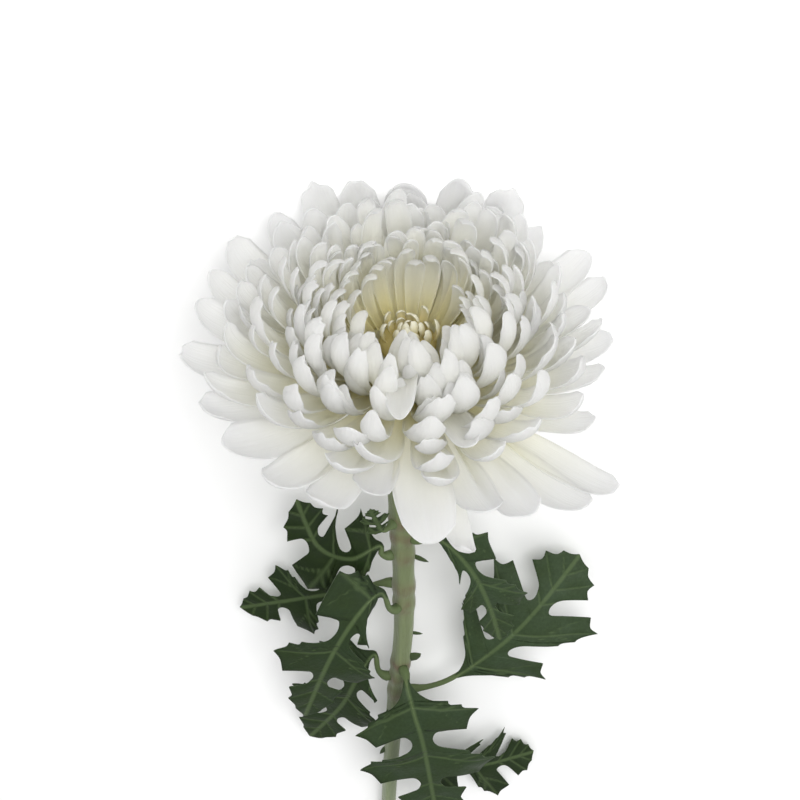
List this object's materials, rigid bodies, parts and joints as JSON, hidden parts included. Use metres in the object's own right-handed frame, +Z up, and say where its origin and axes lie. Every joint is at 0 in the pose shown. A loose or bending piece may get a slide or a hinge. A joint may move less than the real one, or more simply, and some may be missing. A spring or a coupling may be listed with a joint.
{
  "type": "pompon chrysanthemum",
  "caption": "Cut white chrysanthemum with one large incurved head, a leafy ridged stem and dark lobed leaves, lying down.",
  "frame": {"origin": "on the surface it lies on, at the flat spot of the petal that carries the head", "axes": "+Y from the head along the stem to its cut end, +Z up from the surface, X across"},
  "size_m": [0.1309, 0.2665, 0.1017],
  "materials": {
    "petal_white": "matte",
    "floret_cream": "matte",
    "bract_green": "matte",
    "stem_green": "satin",
    "leaf_green": "matte"
  },
  "bodies": {
    "root": {"ray_florets": "petal_white", "centre_florets": "floret_cream", "calyx": "bract_green", "stem": "stem_green", "leaf_upper_left": "leaf_green", "leaf_left": "leaf_green", "leaf_front_left": "leaf_green", "leaf_lower_left": "leaf_green", "leaf_front": "leaf_green", "leaf_lower_right": "leaf_green", "leaf_upper_right": "leaf_green", "leaf_right": "leaf_green", "leaf_small": "leaf_green"}
  },
  "joints": []
}
